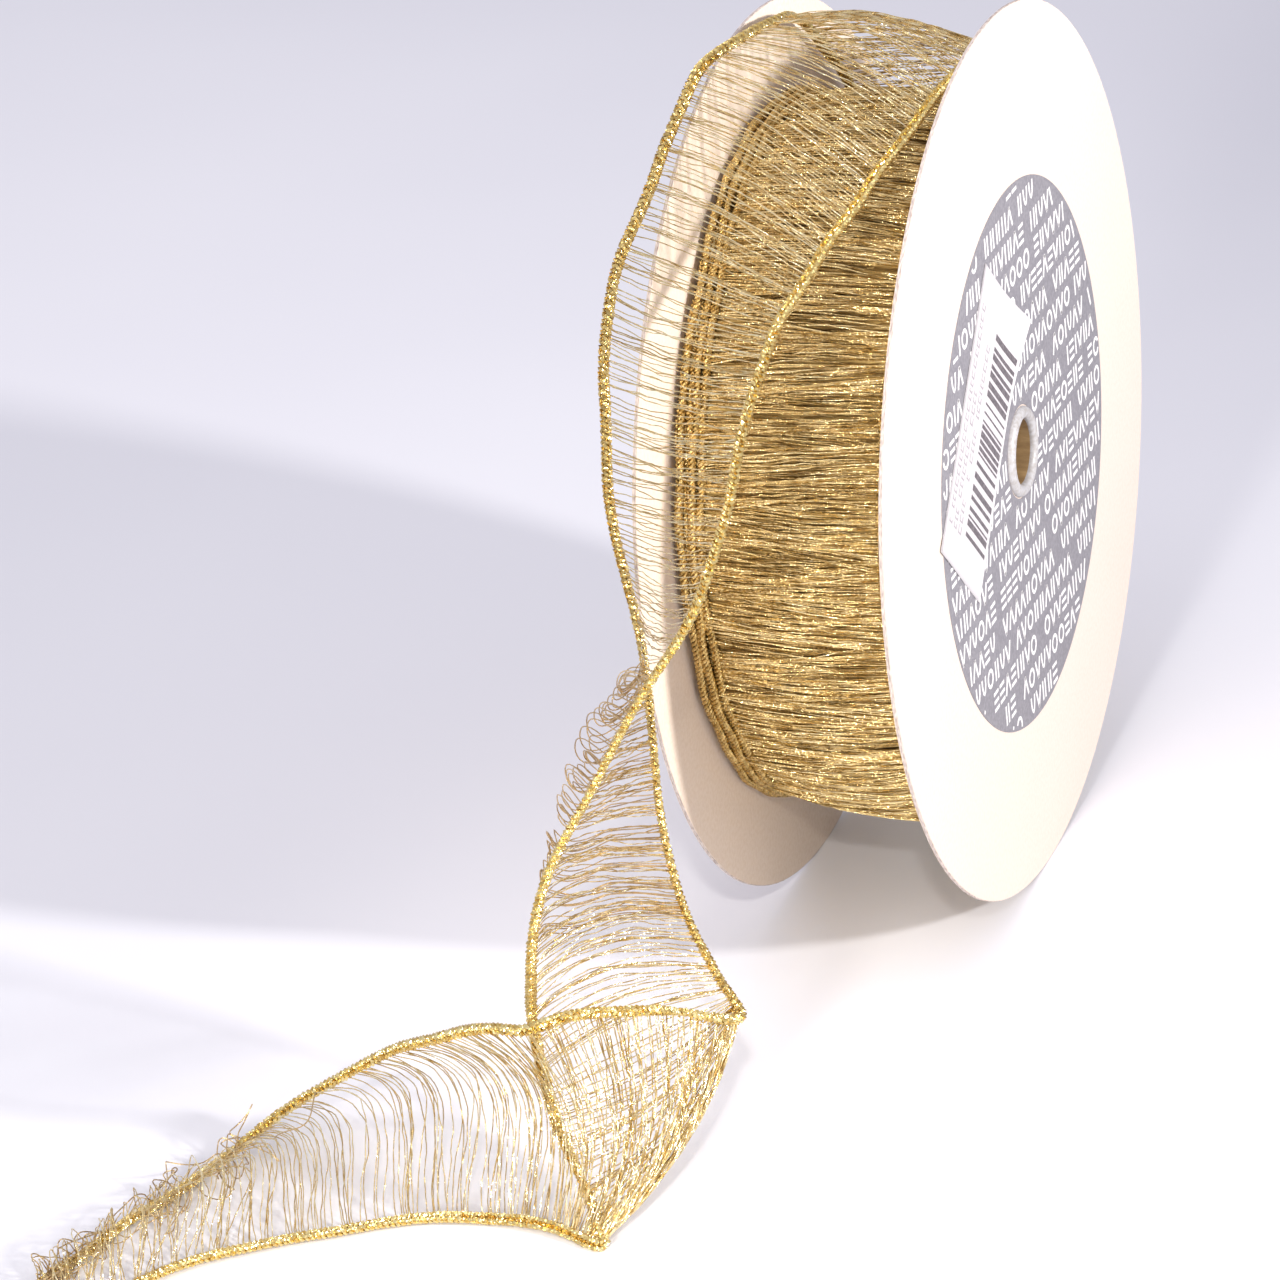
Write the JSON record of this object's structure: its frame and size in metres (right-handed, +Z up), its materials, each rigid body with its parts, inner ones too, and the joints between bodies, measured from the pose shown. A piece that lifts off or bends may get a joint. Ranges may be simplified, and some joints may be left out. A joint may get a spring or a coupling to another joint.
{
  "type": "ribbon spool",
  "caption": "Card spool wound with sheer metallic thread ribbon, its loose end hanging down and folded over on the table.",
  "frame": {"origin": "centre of the tube's bore, half way between the flanges", "axes": "Y along the spool's axis with the labelled flange facing -Y, +Z up, the loose ribbon leaving on the -X side"},
  "size_m": [0.2576, 0.1161, 0.1518],
  "materials": {
    "greyboard": "matte",
    "cream_paper": "matte",
    "lip_paper": "satin",
    "kraft": "matte",
    "tape": "matte",
    "label_paper": "satin",
    "sticker_paper": "satin",
    "gold_thread": "metallic",
    "gold_braid": "metallic"
  },
  "bodies": {
    "free_end": {"tail_drop": "gold_thread", "tail_run": "gold_thread"},
    "spool": {"front_board": "greyboard", "rear_board": "greyboard", "front_inner_facing": "cream_paper", "front_outer_facing": "cream_paper", "rear_inner_facing": "cream_paper", "rear_outer_facing": "cream_paper", "front_lip": "lip_paper", "rear_lip": "lip_paper", "core_tube": "kraft", "winding_hub": "kraft", "core_tape": "tape", "round_label": "label_paper", "barcode_sticker": "sticker_paper", "wound_threads": "gold_thread", "wound_front_selvedge": "gold_braid", "wound_rear_selvedge": "gold_braid"}
  },
  "joints": [
    {"name": "spool_turn", "type": "hinge", "parent": "free_end", "child": "spool", "pos_m": [0, 0, 0], "axis": [0, 1, 0], "continuous": true}
  ]
}
